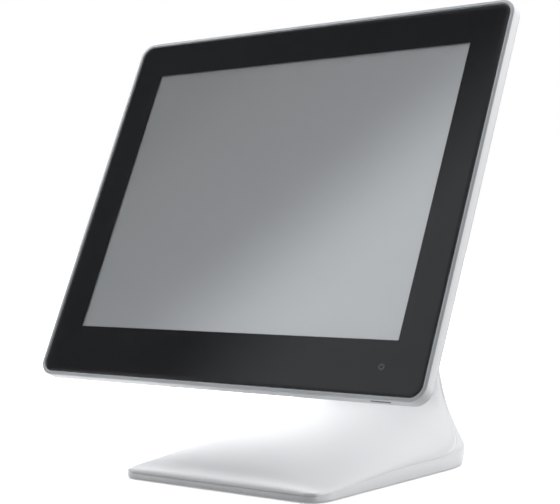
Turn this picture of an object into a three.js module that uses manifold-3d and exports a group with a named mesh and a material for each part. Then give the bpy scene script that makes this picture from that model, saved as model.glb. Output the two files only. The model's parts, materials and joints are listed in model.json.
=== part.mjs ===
// All-in-one point-of-sale touchscreen terminal on a swept wedge stand.
// Units are millimetres, +X to the user's right, +Y to the back, +Z up.
// The origin is the centre of the footprint's bounding box on the table top.
import * as THREE from 'three';
import { mergeVertices } from 'three/addons/utils/BufferGeometryUtils.js';
import Module from 'manifold-3d';

// ---------------------------------------------------------------- dimensions
// display head (own frame: x across, v up the screen, b depth behind the glass)
const TILT = 25;                 // screen leans back this many degrees at rest
const SCREEN_Z = 217.6;          // height of the picture centre above the table
const ACTIVE_W = 304.1, ACTIVE_H = 228.1;      // 15 inch 4:3 picture
const GLASS = { u: 180.0, top: 143.2, bottom: -153.3, r: 9.5, t: 2.0 };
const RIM = 3.0;                 // silver band round the glass
const HEAD_R = 12.3;             // outer corner radius of the head
const SIDE_FROM = 3.0, SIDE_TO = 12.4;         // white side wall, depth range
const BACK_B = 46;               // depth of the rear housing's back face
const WALL = 2.4;                // housing wall
const FIT = 0.3;                 // clearance between neighbouring pieces
// tilt hinge, in the head's frame
const HINGE_V = -12, HINGE_B = 68;
const PIN_R = 4, ARM_X = 61, ARM_T = 3, KNUCKLE_X = 57;
// stand
const BASE_HALF = 95;            // half width of the base
const BASE_Z = 0.9;              // lower edge of the base wall over the table
const REAR_Y = 158.5, REAR_N = 3.4;            // rounded rear outline of the base
const STAND_WALL = 2.4;
const ORIGIN_Y = 46.172;          // footprint centre, behind the picture centre
// power button
const BUTTON = { u: 147.6, w: 16.0, travel: 0.5 };

// ---------------------------------------------------------------- helpers
const wasm = await Module();
wasm.setup();
const rad = (d) => (d * Math.PI) / 180;

function solid(geometry) {
  let g = geometry.clone();
  if (g.index) g = g.toNonIndexed();
  for (const name of Object.keys(g.attributes)) if (name !== 'position') g.deleteAttribute(name);
  g = mergeVertices(g, 1e-4);
  const index = g.index.array, tri = [];
  for (let i = 0; i < index.length; i += 3) {
    const [a, b, c] = [index[i], index[i + 1], index[i + 2]];
    if (a !== b && b !== c && a !== c) tri.push(a, b, c);
  }
  return new wasm.Manifold(new wasm.Mesh({
    numProp: 3,
    vertProperties: new Float32Array(g.attributes.position.array),
    triVerts: new Uint32Array(tri),
  }));
}
function geometryOf(manifold) {
  const m = manifold.getMesh();
  const pos = new Float32Array((m.vertProperties.length / m.numProp) * 3);
  for (let i = 0; i < pos.length / 3; i++)
    for (let k = 0; k < 3; k++) pos[3 * i + k] = m.vertProperties[m.numProp * i + k];
  const g = new THREE.BufferGeometry();
  g.setAttribute('position', new THREE.BufferAttribute(pos, 3));
  g.setIndex(Array.from(m.triVerts));
  g.computeVertexNormals();
  return g;
}
const join = (first, ...rest) => rest.reduce((a, b) => a.add(b), first);
const cut = (first, ...rest) => rest.reduce((a, b) => a.subtract(b), first);

// box from its corner ranges
function boxG([x0, x1], [y0, y1], [z0, z1]) {
  return new THREE.BoxGeometry(x1 - x0, y1 - y0, z1 - z0)
    .translate((x0 + x1) / 2, (y0 + y1) / 2, (z0 + z1) / 2);
}
const box = (...r) => solid(boxG(...r));
// cylinders along each axis
const cylY = (r, x, [y0, y1], z, n = 16) =>
  solid(new THREE.CylinderGeometry(r, r, y1 - y0, n).translate(x, (y0 + y1) / 2, z));
const cylX = (r, [x0, x1], y, z, n = 20) =>
  solid(new THREE.CylinderGeometry(r, r, x1 - x0, n).rotateZ(Math.PI / 2).translate((x0 + x1) / 2, y, z));
const cylZ = (r, x, y, [z0, z1], n = 16) =>
  solid(new THREE.CylinderGeometry(r, r, z1 - z0, n).rotateX(Math.PI / 2).translate(x, y, (z0 + z1) / 2));

// rounded rectangle in the head's u, v plane
function rrect(u0, u1, v0, v1, r) {
  const s = new THREE.Shape();
  s.moveTo(u0 + r, v0);
  s.lineTo(u1 - r, v0); s.absarc(u1 - r, v0 + r, r, -Math.PI / 2, 0);
  s.lineTo(u1, v1 - r); s.absarc(u1 - r, v1 - r, r, 0, Math.PI / 2);
  s.lineTo(u0 + r, v1); s.absarc(u0 + r, v1 - r, r, Math.PI / 2, Math.PI);
  s.lineTo(u0, v0 + r); s.absarc(u0 + r, v0 + r, r, Math.PI, 1.5 * Math.PI);
  return s;
}
// a u, v outline given depth from b0 to b1
function slab(shape, b0, b1, curveSegments = 5) {
  return solid(new THREE.ExtrudeGeometry(shape, { depth: b1 - b0, bevelEnabled: false, curveSegments })
    .rotateX(Math.PI / 2).translate(0, b1, 0));
}
// a y, z outline given width from x0 to x1
function prismX(points, x0, x1) {
  const s = new THREE.Shape(points.map(([y, z]) => new THREE.Vector2(y, z)));
  const g = new THREE.ExtrudeGeometry(s, { depth: x1 - x0, bevelEnabled: false, curveSegments: 6 });
  g.applyMatrix4(new THREE.Matrix4().set(0, 0, 1, x0, 1, 0, 0, 0, 0, 1, 0, 0, 0, 0, 0, 1));
  return solid(g);
}
// closed skin through a list of rings that all have the same number of points
function loft(rings) {
  const n = rings[0].length, pos = [], idx = [];
  for (const ring of rings) for (const p of ring) pos.push(...p);
  for (let k = 0; k + 1 < rings.length; k++)
    for (let i = 0; i < n; i++) {
      const j = (i + 1) % n, a = k * n + i, b = k * n + j, c = (k + 1) * n + j, d = (k + 1) * n + i;
      idx.push(a, b, c, a, c, d);
    }
  for (const [k, flip] of [[0, true], [rings.length - 1, false]]) {
    const mid = [0, 1, 2].map((q) => rings[k].reduce((s, p) => s + p[q], 0) / n);
    pos.push(...mid);
    const m = pos.length / 3 - 1;
    for (let i = 0; i < n; i++) {
      const a = k * n + i, b = k * n + ((i + 1) % n);
      if (flip) idx.push(m, b, a); else idx.push(m, a, b);
    }
  }
  let volume = 0;
  for (let i = 0; i < idx.length; i += 3) {
    const [a, b, c] = [0, 1, 2].map((q) => new THREE.Vector3(...pos.slice(3 * idx[i + q], 3 * idx[i + q] + 3)));
    volume += a.dot(b.cross(c));
  }
  if (volume < 0) for (let i = 0; i < idx.length; i += 3) [idx[i], idx[i + 1]] = [idx[i + 1], idx[i]];
  const g = new THREE.BufferGeometry();
  g.setAttribute('position', new THREE.Float32BufferAttribute(pos, 3));
  g.setIndex(idx);
  return solid(g);
}

const material = (color, roughness, metalness) => new THREE.MeshStandardMaterial({ color, roughness, metalness });
const MAT = {
  whitePlastic: () => material(0xe9eaec, 0.42, 0.0),
  silverRim: () => material(0xa7abb2, 0.38, 0.55),
  clearGlass: () => material(0x1c1d21, 0.08, 0.0),
  blackInk: () => material(0x141518, 0.35, 0.0),
  screen: () => material(0x9a9da0, 0.3, 0.0),
  steel: () => material(0xa9adb2, 0.4, 0.9),
  darkSteel: () => material(0x55585c, 0.45, 0.9),
  zinc: () => material(0xb9bcc0, 0.35, 0.9),
  castIron: () => material(0x3a3b3d, 0.7, 0.6),
  aluminium: () => material(0xc4c7ca, 0.4, 0.9),
  board: () => material(0x1f5a3a, 0.5, 0.0),
  chip: () => material(0x1b1c1e, 0.5, 0.0),
  blackPlastic: () => material(0x1e1f21, 0.5, 0.0),
  rubber: () => material(0x232425, 0.85, 0.0),
  backlight: () => material(0xd8dadc, 0.5, 0.2),
};
const terminal = new THREE.Group();
const head = new THREE.Group();
const stand = new THREE.Group();
terminal.add(head, stand);
function put(group, name, shape, mat) {
  const mesh = new THREE.Mesh(geometryOf(shape), MAT[mat]());
  mesh.name = name;
  group.add(mesh);
  return mesh;
}
// screws turned from one closed profile; the axis runs along +Y from tip to head
function screw(headR, headH, shankR, length, n = 10) {
  const pts = [[0, 0], [shankR * 0.7, 0], [shankR, 0.6], [shankR, length], [headR, length],
    [headR, length + headH * 0.6], [headR * 0.8, length + headH], [headR * 0.35, length + headH],
    [headR * 0.35, length + headH * 0.45], [0, length + headH * 0.45]]
    .map(([r, y]) => new THREE.Vector2(r, y));
  return new THREE.LatheGeometry(pts, n);
}

// ---------------------------------------------------------------- display head
const O = { u: GLASS.u + RIM, top: GLASS.top + RIM, bottom: GLASS.bottom - RIM };
const outline = (inset, r = Math.max(HEAD_R - inset, 1.5)) =>
  rrect(-O.u + inset, O.u - inset, O.bottom + inset, O.top - inset, r);
const glassOutline = (inset) => rrect(-GLASS.u + inset, GLASS.u - inset,
  GLASS.bottom + inset, GLASS.top - inset, GLASS.r - Math.min(inset, GLASS.r - 2));

put(head, 'touch_glass', slab(glassOutline(0), 0, GLASS.t, 6), 'clearGlass');
put(head, 'glass_border_mask', cut(slab(glassOutline(0.2), GLASS.t + FIT, GLASS.t + 0.7),
  slab(rrect(-ACTIVE_W / 2, ACTIVE_W / 2, -ACTIVE_H / 2, ACTIVE_H / 2, 0.6), 1, 4)), 'blackInk');
// the silver rim wraps the glass and carries it on an inner ledge
put(head, 'bezel_rim', join(
  cut(slab(outline(0), 0, SIDE_FROM - FIT, 6), slab(outline(RIM - FIT, GLASS.r + FIT), -1, 5, 6)),
  cut(slab(outline(1.4), 2.4, 4), slab(outline(RIM - FIT, GLASS.r + FIT), -1, 5)),
  cut(slab(outline(1.4), 3, 4), slab(outline(9), 2, 5)),
), 'silverRim');
// white side wall with a lap joint over the rim and a slot for the power button
put(head, 'side_frame', cut(
  slab(outline(0), SIDE_FROM, SIDE_TO, 6),
  slab(outline(1.4 - FIT), 2, 4.4),
  slab(outline(WALL), 4.3, 14),
  box([BUTTON.u - BUTTON.w / 2 - FIT, BUTTON.u + BUTTON.w / 2 + FIT], [2, 5.9], [-160, O.bottom + WALL + 2]),
), 'whitePlastic');

// rear housing: rounded rim, shallow shoulder, then the deep centre
function headRing(inset, b, steps = 5) {
  const r = Math.max(HEAD_R + inset * 0.25, 3), pts = [];
  const [u, t, d] = [O.u - inset, O.top - inset, O.bottom + inset];
  for (const [cx, cz, a0] of [[u - r, t - r, 0], [-u + r, t - r, 90], [-u + r, d + r, 180], [u - r, d + r, 270]])
    for (let i = 0; i <= steps; i++) {
      const a = rad(a0 + (90 * i) / steps);
      pts.push([cx + r * Math.cos(a), b, cz + r * Math.sin(a)]);
    }
  return pts;
}
const REAR_OUT = [[0, SIDE_TO + FIT], [0.4, 14.2], [1.6, 15.9], [4, 17.2], [9, 18.2], [38, 25.5], [45, 29], [52, 38], [56, 43.4], [60.5, BACK_B]];
const REAR_IN = [[WALL, SIDE_TO - 1], [WALL + 0.6, 13.6], [8.5, 15.4], [38, 22.8], [47, 27.4], [54.4, 38.5], [60.5, 43.5]];
const SLOT_U = Array.from({ length: 12 }, (_, i) => -66 + 12 * i);
const POSTS = [[-109, 70], [109, 70], [-109, -80], [109, -80]];
const HINGE_HOLES = [[-48, 24], [48, 24], [-48, -48], [48, -48]];
let rear = cut(loft(REAR_OUT.map(([i, b]) => headRing(i, b))), loft(REAR_IN.map(([i, b]) => headRing(i, b))));
for (const u of SLOT_U) rear = rear.subtract(box([u - 1.6, u + 1.6], [41, 50], [46, 76]));
for (const [u, v] of POSTS) rear = cut(rear, cylY(1.9, u, [35, 50], v, 12), cylY(3.4, u, [44.6, 50], v, 12));
for (const [u, v] of HINGE_HOLES) rear = rear.subtract(cylY(2.4, u, [40, 50], v, 12));
rear = rear.subtract(box([-50, 68], [22, 39], [-130, -97.4]));
put(head, 'rear_housing', rear, 'whitePlastic');

// picture module
put(head, 'lcd_cell', box([-160, 160], [3.1, 4.7], [-122, 122]), 'screen');
put(head, 'lcd_backlight', slab(rrect(-163, 163, -126, 126, 3), 5.0, 10.8, 2), 'backlight');
let chassis = slab(rrect(-176, 176, -148, 138, 4), 11.2, 12.4, 2);
chassis = cut(chassis, box([-150, -60], [10, 14], [-20, 60]), box([60, 150], [10, 14], [90, 120]));
for (const [u, v] of [[-44, -78], [92, -78], [-44, 56], [92, 56]]) chassis = chassis.add(cylY(3, u, [12.2, 19.6], v, 10));
for (const [u, v] of POSTS) chassis = chassis.add(cut(cylY(3.6, u, [12.2, 43.1], v, 12), cylY(1.9, u, [34, 50], v, 12)));
put(head, 'lcd_chassis', chassis, 'steel');

// electronics
put(head, 'mainboard', box([-50, 98], [20, 21.6], [-88, 62]), 'board');
put(head, 'cpu_package', box([7, 37], [21.9, 23.6], [-5, 25]), 'chip');
let sink = box([-8, 52], [24, 27], [-20, 40]);
for (let i = 0; i < 10; i++) sink = sink.add(box([i * 6.4 - 7.6, i * 6.4 - 6.0], [26.5, 38], [-20, 40]));
put(head, 'cpu_heatsink', sink, 'aluminium');
put(head, 'memory_socket', box([88.6, 94], [21.9, 27], [-38, 32]), 'blackPlastic');
put(head, 'memory_module', box([58.5, 88.2], [24.4, 25.6], [-37, 31]), 'board');
put(head, 'ssd_tray', join(box([-127, -53], [17.5, 18.5], [-66, 44]), box([-127, -126], [17.5, 25], [-66, 44]),
  box([-54, -53], [17.5, 25], [-66, 44])), 'zinc');
put(head, 'ssd_drive', box([-125, -55.2], [18.9, 25.9], [-61, 39]), 'darkSteel');
put(head, 'touch_controller_board', box([-35, 35], [14, 15.2], [90, 116]), 'board');
for (const [name, s] of [['speaker_left', -1], ['speaker_right', 1]])
  put(head, name, slab(rrect(s * 137 - 9, s * 137 + 9, -62, -22, 6), 13.6, 20.4, 3), 'blackPlastic');

// connectors look down out of the recess under the deep centre
const PORTS = [['dc_inlet', -34, 6, 12], ['serial_port', -8, 15.5, 12.4], ['usb_ports_a', 21, 7.2, 14], ['usb_ports_b', 39, 7.2, 14], ['lan_port', 57, 8, 13]];
let bracket = box([-48, 67], [20.2 + 2, 39], [-97, -96]);
bracket = bracket.add(box([-48, 67], [38, 39], [-97, -84]));
for (const [, u, w, h] of PORTS)
  bracket = bracket.subtract(box([u - w - FIT, u + w + FIT], [22.6, 23 + h + FIT], [-99, -95]));
put(head, 'io_bracket', bracket, 'zinc');
for (const [name, u, w, h] of PORTS) {
  let body = box([u - w, u + w], [23, 23 + h], [-100, -82]);
  if (name === 'dc_inlet') body = cut(body, cylZ(4.2, u, 29, [-101, -90], 14)).add(cylZ(1.2, u, 29, [-98, -88], 10));
  else if (name === 'serial_port') body = cut(body, box([u - 9, u + 9], [25, 33.4], [-101, -94]));
  else if (name === 'lan_port') body = cut(body, box([u - 6, u + 6], [25, 34], [-101, -88]));
  else body = cut(body, box([u - 6.2, u + 6.2], [24, 29.2], [-101, -88]), box([u - 6.2, u + 6.2], [30.6, 35.8], [-101, -88]));
  put(head, name, body, name === 'dc_inlet' || name === 'serial_port' ? 'blackPlastic' : 'zinc');
}

// power button in the lower edge, with its return spring and switch
const bv = O.bottom;
put(head, 'power_button', join(
  box([BUTTON.u - BUTTON.w / 2, BUTTON.u + BUTTON.w / 2], [3.3, 5.6], [bv - 0.2, bv + 0.7]),
  box([BUTTON.u - 6, BUTTON.u + 6], [4.5, 5.6], [bv + 0.5, bv + 4.2]),
  cylZ(0.6, BUTTON.u, 5.5, [bv + 3.9, bv + 8.6], 10)), 'blackPlastic');
class Helix extends THREE.Curve {
  getPoint(t, target = new THREE.Vector3()) {
    const a = t * Math.PI * 2 * 3;
    return target.set(BUTTON.u + 1.1 * Math.cos(a), 5.5 + 1.1 * Math.sin(a), bv + 5.3 + t * 3.2);
  }
}
const wire = new THREE.Shape();
wire.absarc(0, 0, 0.2, 0, Math.PI * 2);
put(head, 'power_button_spring', solid(new THREE.ExtrudeGeometry(wire,
  { steps: 30, extrudePath: new Helix(), bevelEnabled: false, curveSegments: 3 })), 'steel');
put(head, 'power_switch', join(box([BUTTON.u - 4, BUTTON.u + 4], [4.5, 9.5], [bv + 9.7, bv + 14]),
  box([BUTTON.u - 10, BUTTON.u + 10], [4.5, 9.5], [bv + 13.9, bv + 15.4])), 'chip');

// hinge, display side: backing plate inside, U-shaped mount plate outside, fixed pins
const backing = HINGE_HOLES.reduce((p, [u, v]) => p.subtract(cylY(2.3, u, [39, 45], v, 12)),
  slab(rrect(-62, 62, -56, 32, 4), 41, 43.2, 2));
put(head, 'hinge_backing_plate', backing, 'zinc');
const armProfile = [[BACK_B + FIT, HINGE_V - 20], [BACK_B + FIT, HINGE_V + 20]];
for (let i = 0; i <= 10; i++) {
  const a = rad(80 - 16 * i);
  armProfile.push([HINGE_B + 11 * Math.cos(a), HINGE_V + 11 * Math.sin(a)]);
}
const arms = [-1, 1].map((s) => cut(
  prismX(armProfile, Math.min(s * ARM_X, s * (ARM_X + ARM_T)), Math.max(s * ARM_X, s * (ARM_X + ARM_T))),
  cylX(PIN_R + FIT, s > 0 ? [55, 70] : [-70, -55], HINGE_B, HINGE_V)));
let mountPlate = slab(rrect(-64, 64, -56, 32, 4), BACK_B + FIT, BACK_B + FIT + 2.5, 2);
mountPlate = join(mountPlate, ...arms);
for (const [u, v] of HINGE_HOLES) mountPlate = mountPlate.subtract(cylY(2.4, u, [40, 52], v, 12));
put(head, 'hinge_mount_plate', mountPlate, 'darkSteel');
for (const [name, s] of [['hinge_pin_left', -1], ['hinge_pin_right', 1]]) {
  const span = (a, b) => (s > 0 ? [a, b] : [-b, -a]);
  put(head, name, join(cylX(PIN_R, span(33.5, 65), HINGE_B, HINGE_V),
    cylX(6.5, span(64.3, 66.6), HINGE_B, HINGE_V)), 'steel');
  // plastic cap over the outer face of the arm, open toward the knuckle
  const cap = [[BACK_B + FIT, HINGE_V - 24], [BACK_B + FIT, HINGE_V + 24]], inner = [[BACK_B - 1, HINGE_V - 21.6], [BACK_B - 1, HINGE_V + 21.6]];
  for (let i = 0; i <= 12; i++) {
    const a = rad(84 - 14 * i);
    cap.push([HINGE_B + 15 * Math.cos(a), HINGE_V + 15 * Math.sin(a)]);
    inner.push([HINGE_B + 12.8 * Math.cos(a), HINGE_V + 12.8 * Math.sin(a)]);
  }
  put(head, s < 0 ? 'hinge_arm_cover_left' : 'hinge_arm_cover_right',
    cut(prismX(cap, ...span(64.6, 70)), prismX(inner, ...span(60, 67.8))), 'whitePlastic');
}
HINGE_HOLES.forEach(([u, v], i) => put(head, `hinge_screw_${i + 1}`,
  solid(screw(4, 2.4, 2, 10.5).translate(u, BACK_B + FIT + 2.5 + FIT - 10.5, v)), 'zinc'));
POSTS.forEach(([u, v], i) => put(head, `housing_screw_${i + 1}`,
  solid(screw(3, 1.6, 1.5, 9).translate(u, 45 - 9, v)), 'zinc'));

// place the head: tilted back about X
head.rotation.x = -rad(TILT);
head.position.set(0, 0, SCREEN_Z);
const hingeY = HINGE_V * Math.sin(rad(TILT)) + HINGE_B * Math.cos(rad(TILT));
const hingeZ = SCREEN_Z + HINGE_V * Math.cos(rad(TILT)) - HINGE_B * Math.sin(rad(TILT));

// ---------------------------------------------------------------- stand
// Each station is one section across the stand, swept from the front edge of the base
// round the heel and up the leaning neck:
// front/top centre (y, z), seam point (x, y, z), upper exponent, rear centre (y, z), lower exponent
const STATIONS = [
  { T: [-63.0, 6.8], S: [82.0, -63.0, 5.0], m: 9 },
  { T: [-61.8, 7.9], S: [87.6, -61.2, 5.1], m: 6 },
  { T: [-58.0, 9.3], S: [91.6, -57.6, 5.2], m: 3.6 },
  { T: [-49.0, 11.8], S: [94.8, -49.0, 5.7], m: 2.5 },
  { T: [-20.0, 18.4], S: [95.0, -20.0, 7.6], m: 2.15 },
  { T: [10.0, 24.6], S: [95.0, 10.0, 9.9], m: 2 },
  { T: [45.0, 31.4], S: [95.0, 45.0, 11.6], m: 2 },
  { T: [74.0, 38.6], S: [95.0, 79.0, 11.6], m: 2 },
  { T: [90.0, 42.6], S: [94.9, 95.0, 11.9], m: 2, ground: true },
  { T: [105.0, 47.5], S: [94.0, 110.0, 13.6], m: 2, R: [158, 6], n: 3.4 },
  { T: [117.0, 54.0], S: [89.5, 127.0, 18.5], m: 2, R: [158, 14], n: 3.4 },
  { T: [124.5, 62.5], S: [80.0, 139.0, 28.0], m: 2.1, R: [157.4, 25], n: 3.4 },
  { T: [128.0, 73.0], S: [70.0, 144.5, 43.0], m: 2.4, R: [156, 44], n: 3.5 },
  { T: [128.5, 86.0], S: [63.8, 144.5, 65.0], m: 2.9, R: [153.5, 70], n: 3.6 },
  { T: [122.5, 108.0], S: [60.5, 135.0, 97.0], m: 3.4, R: [145, 104], n: 3.8 },
  { T: [107.0, 126.0], S: [58.5, 119.0, 127.0], m: 4, R: [129, 135], n: 4.2 },
  { T: [83.0, 140.0], S: [57.5, 96.0, 151.0], m: 5, R: [107, 160], n: 5 },
];
for (const [d, h, m] of [[20, 17, 6.5], [0, 16, 8], [-8, 13.9, 8], [-14, 7.7, 8]]) {
  const [y, z] = [hingeY + 0.8 * d, hingeZ - 0.6 * d];
  const T = [y - 0.6 * h, z - 0.8 * h], R = [y + 0.6 * h, z + 0.8 * h];
  STATIONS.push({ T, R, S: [KNUCKLE_X, T[0] + 0.62 * (R[0] - T[0]), T[1] + 0.62 * (R[1] - T[1])], m, n: m });
}
const quadrant = (phi, n) => [Math.sin(phi) ** (2 / n), Math.cos(phi) ** (2 / n)];
function standRing(st, NU = 9, NL = 8, bottomZ = BASE_Z, rearY = REAR_Y) {
  const { T, S, m, R, n } = st, half = [];
  for (let i = NU - 1; i > 0; i--) {          // seam up to, not including, the top centre
    const [f, g] = quadrant((Math.PI / 2) * (i / (NU - 1)), m);
    half.push([S[0] * f, S[1] + (T[0] - S[1]) * g, S[2] + (T[1] - S[2]) * g]);
  }
  half[0] = [...S];
  const lower = [];                           // from the rear centre out to the seam
  for (let i = 0; i < NL - 1; i++) {
    const phi = (Math.PI / 2) * (i / (NL - 1));
    if (R) {
      const [f, g] = quadrant(phi, n);
      lower.push([S[0] * f, S[1] + (R[0] - S[1]) * g, S[2] + (R[1] - S[2]) * g]);
    } else if (st.ground) {
      const [f, g] = quadrant(phi, REAR_N);
      lower.push([S[0] * f, S[1] + (rearY - S[1]) * g, bottomZ]);
    } else lower.push([S[0] * (i / (NL - 2)), S[1], bottomZ]);
  }
  if (st.ground) lower[NL - 2] = [S[0], S[1], bottomZ];
  lower[0][0] = 0;
  const mirror = ([x, y, z]) => [-x, y, z];
  return [...half, [0, T[0], T[1]], ...half.map(mirror).reverse(),
    ...lower.slice(1).map(mirror).reverse(), lower[0], ...lower.slice(1)];
}
const standSolid = loft(STATIONS.map((st) => standRing(st)));
// hollow: every section moved inward by the wall, open at the bottom
const t = STAND_WALL;
const HOLLOW = [
  { T: [-60.3, 6.2], S: [85.0, -60.3, 4.4], m: 6 },
  { T: [-56.5, 7.4], S: [89.0, -56.5, 4.6], m: 4 },
];
STATIONS.slice(3, -1).forEach((st) => {
  const R = st.R ?? [st.S[1], BASE_Z];
  const d = [st.T[0] - R[0], st.T[1] - R[1]], L = Math.hypot(...d), e = [d[0] / L, d[1] / L];
  const out = { T: [st.T[0] - t * e[0], st.T[1] - t * e[1]], S: [st.S[0] - t, st.S[1], st.S[2]], m: st.m, n: st.n, ground: st.ground };
  if (st.R) out.R = [R[0] + t * e[0], R[1] + t * e[1]];
  HOLLOW.push(out);
});
const hollow = loft(HOLLOW.map((st) => standRing(st, 9, 8, -6, REAR_Y - t)));
let shell = standSolid.subtract(hollow);
// clearance holes for the hinge pins and the cable mouth at the rear
shell = cut(shell, cylX(PIN_R + 0.6, [-70, 70], hingeY, hingeZ), box([-24, 24], [150, 165], [-2, 11]));

// the seam splits the shell into the upper cover and the lower/rear housing
const seam = STATIONS.map((st) => [st.S[1], st.S[2]]);
seam.unshift([-75, 5.0]);
seam.push([seam[seam.length - 1][0] - 8, seam[seam.length - 1][1] + 6]);
// the seam line moved sideways by a distance, positive toward the upper cover
function above(distance) {
  const line = seam.map(([y, z], i) => {
    const a = seam[Math.max(i - 1, 0)], b = seam[Math.min(i + 1, seam.length - 1)];
    const [dy, dz] = [b[0] - a[0], b[1] - a[1]], L = Math.hypot(dy, dz);
    return [y - (distance * dz) / L, z + (distance * dy) / L];
  });
  return prismX([...line, [-75, 260]], -120, 120);
}
const upperRegion = above(0.16), upperPlus = above(-0.16);
let cover = shell.intersect(upperRegion), lowerHousing = shell.subtract(upperPlus);
const BOSSES = [[-70, -22], [70, -22]];
for (const [x, y] of BOSSES) {
  cover = cover.add(cylZ(4, x, y, [5.2, 40], 12).intersect(standSolid).intersect(upperRegion));
  cover = cover.subtract(cylZ(1.4, x, y, [0, 9.6], 10));
}
put(stand, 'stand_upper_cover', cover, 'whitePlastic');
put(stand, 'stand_lower_housing', lowerHousing, 'whitePlastic');

// steel bottom plate, inset in the lower housing
const plateShape = new THREE.Shape();
const PL = BASE_HALF - t - 0.8;
plateShape.moveTo(-PL + 12, -59.2);
plateShape.lineTo(PL - 12, -59.2);
plateShape.quadraticCurveTo(PL - 1, -58.2, PL, -46);
plateShape.lineTo(PL, 92);
for (let i = 1; i <= 12; i++) {
  const [f, g] = quadrant((Math.PI / 2) * (1 - i / 12), REAR_N - 0.8);
  plateShape.lineTo(PL * f, 92 + (REAR_Y - t - 1 - 92) * g);
}
for (let i = 11; i >= 0; i--) {
  const [f, g] = quadrant((Math.PI / 2) * (1 - i / 12), REAR_N - 0.8);
  plateShape.lineTo(-PL * f, 92 + (REAR_Y - t - 1 - 92) * g);
}
plateShape.lineTo(-PL, -46);
plateShape.quadraticCurveTo(-PL + 1, -58.2, -PL + 12, -59.2);
let plate = solid(new THREE.ExtrudeGeometry(plateShape, { depth: 2, bevelEnabled: false, curveSegments: 4 }).translate(0, 0, 1.5));
const FRAME_SCREWS = [[-36, 118], [36, 118]];
for (const [x, y] of [...BOSSES, ...FRAME_SCREWS]) plate = cut(plate, cylZ(1.9, x, y, [0, 6], 12));
plate = plate.subtract(box([-24, 24], [146, 165], [0, 6]));
put(stand, 'base_plate', plate, 'darkSteel');
put(stand, 'base_ballast', cut(solid(new THREE.ExtrudeGeometry(rrect(-62, 62, -20, 62, 8), { depth: 8.5, bevelEnabled: false, curveSegments: 3 })
  .translate(0, 0, 3.9)), box([-12, 12], [-10, 50], [9, 14])), 'castIron');

// steel neck frame: two cheeks and a rear web rising from a foot to the hinge ears
const A = [hingeY, hingeZ];
const cheek = [[101, 4.2], [145, 4.2], [146.5, 12], [147, 44], [145.5, 68], [138.5, 98], [124, 126], [104.5, 149.5]];
for (let i = 0; i <= 8; i++) {
  const a = rad(45 + 22.5 * i);
  cheek.push([A[0] + 8 * Math.cos(a), A[1] + 8 * Math.sin(a)]);
}
cheek.push([90, 147], [111, 134.5], [128.5, 115], [136, 91], [136.5, 72], [134, 55], [118, 16]);
const web = [[142, 4.2], [145, 4.2], [146.5, 12], [147, 44], [145.5, 68], [138.5, 98], [124, 126], [104.5, 149.5], [102.6, 146.8], [121.4, 124.4], [135.6, 97], [142.5, 67.4], [144, 44], [143.5, 12]];
let neck = join(prismX(cheek, 42, 45), prismX(cheek, -45, -42), prismX(web, -43, 43),
  box([-43, 43], [101, 143], [4.2, 7.2]));
neck = cut(neck, cylX(PIN_R + 0.5, [-60, 60], ...A), box([-25, 25], [135, 150], [14, 60]));
for (const [x, y] of FRAME_SCREWS) neck = neck.subtract(cylZ(1.5, x, y, [0, 12], 10));
put(stand, 'neck_frame', neck, 'zinc');

// friction stack on each hinge pin
for (const [side, s] of [['left', -1], ['right', 1]]) {
  const span = (a, b) => (s > 0 ? [a, b] : [-b, -a]);
  put(stand, `hinge_spring_washer_${side}`, cut(cylX(7.4, span(39.7, 41.7), ...A), cylX(PIN_R + 0.4, span(36, 46), ...A)), 'steel');
  put(stand, `hinge_nut_${side}`, cut(cylX(7.2, span(34.9, 39.4), ...A, 6), cylX(PIN_R + 0.4, span(30, 50), ...A)), 'zinc');
}

// feet, screws and the cable grommet
[[-78, -44], [78, -44], [-72, 118], [72, 118]].forEach(([x, y], i) => put(stand, `rubber_foot_${i + 1}`,
  solid(new THREE.LatheGeometry([[0, 0], [6.6, 0], [7.2, 0.5], [7.2, 1.2], [0, 1.2]].map(([r, h]) => new THREE.Vector2(r, h)), 20)
    .rotateX(Math.PI / 2).translate(x, y, 0)), 'rubber'));
[...BOSSES, ...FRAME_SCREWS].forEach(([x, y], i) => put(stand, `base_screw_${i + 1}`,
  solid(screw(3.2, 0.8, 1.1, i < 2 ? 7.6 : 6.0).rotateX(-Math.PI / 2).translate(x, y, 0.35 + 0.8 + (i < 2 ? 7.6 : 6.0))), 'zinc'));
put(stand, 'cable_grommet', cut(box([-23.6, 23.6], [153.4, 160 - 1.6], [1.2, 10.6]), box([-19, 19], [150, 162], [3.4, 8.6])), 'rubber');

// ---------------------------------------------------------------- assembly
terminal.position.y = -ORIGIN_Y;
terminal.updateMatrixWorld(true);
export default terminal;
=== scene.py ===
import bpy, bmesh, json, math
import numpy as np
from mathutils import Vector, Matrix


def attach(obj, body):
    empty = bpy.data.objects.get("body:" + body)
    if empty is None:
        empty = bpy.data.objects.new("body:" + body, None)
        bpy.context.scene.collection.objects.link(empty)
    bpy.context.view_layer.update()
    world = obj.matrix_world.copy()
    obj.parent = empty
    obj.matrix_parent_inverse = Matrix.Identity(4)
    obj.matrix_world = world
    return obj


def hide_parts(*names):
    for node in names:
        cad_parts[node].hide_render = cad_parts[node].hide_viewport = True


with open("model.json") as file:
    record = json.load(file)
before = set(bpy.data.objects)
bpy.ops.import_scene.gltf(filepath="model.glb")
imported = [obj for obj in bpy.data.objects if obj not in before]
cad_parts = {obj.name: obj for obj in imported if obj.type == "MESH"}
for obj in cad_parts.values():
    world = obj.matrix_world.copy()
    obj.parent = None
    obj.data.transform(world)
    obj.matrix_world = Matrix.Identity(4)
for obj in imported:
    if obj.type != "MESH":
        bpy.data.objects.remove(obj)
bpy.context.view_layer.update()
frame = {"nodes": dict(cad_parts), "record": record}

# ------------------------------------------------------------------ dimensions, mm
TILT = math.radians(25.0)
SCREEN_Z, ORIGIN_Y = 217.6, 46.172
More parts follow.
